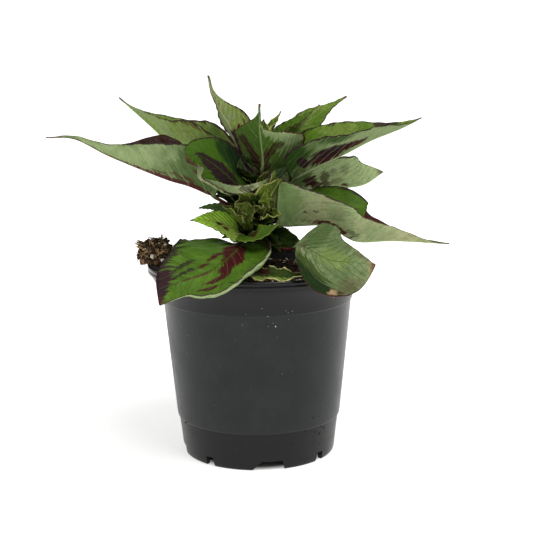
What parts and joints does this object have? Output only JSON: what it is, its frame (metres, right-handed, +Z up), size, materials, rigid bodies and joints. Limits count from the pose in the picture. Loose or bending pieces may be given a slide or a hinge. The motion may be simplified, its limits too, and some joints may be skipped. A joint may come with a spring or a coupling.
{
  "type": "potted celosia plant",
  "caption": "Young leafy celosia plant with red-blotched green leaves, standing in soil in a round black plastic nursery pot with a stepped wall and rolled rim.",
  "frame": {"origin": "centre of the pot's underside, on the surface that the pot stands on", "axes": "+Z up along the pot's axis, -Y towards the viewer of the picture, +X to the viewer's right"},
  "size_m": [0.2711, 0.1927, 0.2661],
  "materials": {
    "pot_plastic": "dark charcoal polypropylene, satin with a glossier rim",
    "potting_soil": "dark crumbly peat and bark mix with white perlite grains",
    "root_and_soil": "matted brown roots holding soil and perlite",
    "stem_skin": "smooth green stem flushed with dark red",
    "leaf_long_left_green": "soft satin leaf, green with dark red blotches, paler underneath",
    "leaf_upper_left_green": "soft satin leaf, green with dark red blotches, paler underneath",
    "leaf_top_green": "soft satin leaf, green with dark red blotches, paler underneath",
    "leaf_hood_green": "soft satin leaf, green with dark red blotches, paler underneath",
    "leaf_upper_right_green": "soft satin leaf, green with dark red blotches, paler underneath",
    "leaf_young_right_green": "soft satin leaf, green with dark red blotches, paler underneath",
    "leaf_right_big_green": "soft satin leaf, green with dark red blotches, paler underneath",
    "leaf_right_mid_green": "soft satin leaf, green with dark red blotches, paler underneath",
    "leaf_right_low_green": "soft satin leaf, green with dark red blotches, paler underneath",
    "leaf_front_left_green": "soft satin leaf, green with dark red blotches, paler underneath",
    "leaf_front_big_green": "soft satin leaf, green with dark red blotches, paler underneath",
    "leaf_front_right_green": "soft satin leaf, green with dark red blotches, paler underneath",
    "leaf_small_left_green": "soft satin leaf, green with dark red blotches, paler underneath",
    "leaf_small_left_back_green": "soft satin leaf, green with dark red blotches, paler underneath",
    "leaf_small_right_green": "soft satin leaf, green with dark red blotches, paler underneath",
    "leaf_soil_green": "soft satin leaf, green with dark red blotches, paler underneath",
    "leaf_back_left_green": "soft satin leaf, green with dark red blotches, paler underneath",
    "leaf_back_middle_green": "soft satin leaf, green with dark red blotches, paler underneath",
    "leaf_back_right_green": "soft satin leaf, green with dark red blotches, paler underneath",
    "leaf_back_low_green": "soft satin leaf, green with dark red blotches, paler underneath",
    "leaf_back_upper_green": "soft satin leaf, green with dark red blotches, paler underneath",
    "shoot_middle_green": "fresh yellow-green young leaves with pale edges",
    "shoot_left_green": "fresh yellow-green young leaves with pale edges",
    "shoot_right_green": "fresh yellow-green young leaves with pale edges",
    "shoot_crown_green": "fresh yellow-green young leaves with pale edges"
  },
  "bodies": {
    "root": {"pot": "pot_plastic", "soil": "potting_soil", "root_clump": "root_and_soil", "stem": "stem_skin", "leaf_long_left": "leaf_long_left_green", "leaf_upper_left": "leaf_upper_left_green", "leaf_top": "leaf_top_green", "leaf_hood": "leaf_hood_green", "leaf_upper_right": "leaf_upper_right_green", "leaf_young_right": "leaf_young_right_green", "leaf_right_big": "leaf_right_big_green", "leaf_right_mid": "leaf_right_mid_green", "leaf_right_low": "leaf_right_low_green", "leaf_front_left": "leaf_front_left_green", "leaf_front_big": "leaf_front_big_green", "leaf_front_right": "leaf_front_right_green", "leaf_small_left": "leaf_small_left_green", "leaf_small_left_back": "leaf_small_left_back_green", "leaf_small_right": "leaf_small_right_green", "leaf_soil": "leaf_soil_green", "leaf_back_left": "leaf_back_left_green", "leaf_back_middle": "leaf_back_middle_green", "leaf_back_right": "leaf_back_right_green", "leaf_back_low": "leaf_back_low_green", "leaf_back_upper": "leaf_back_upper_green", "shoot_middle": "shoot_middle_green", "shoot_left": "shoot_left_green", "shoot_right": "shoot_right_green", "shoot_crown": "shoot_crown_green"}
  },
  "joints": []
}
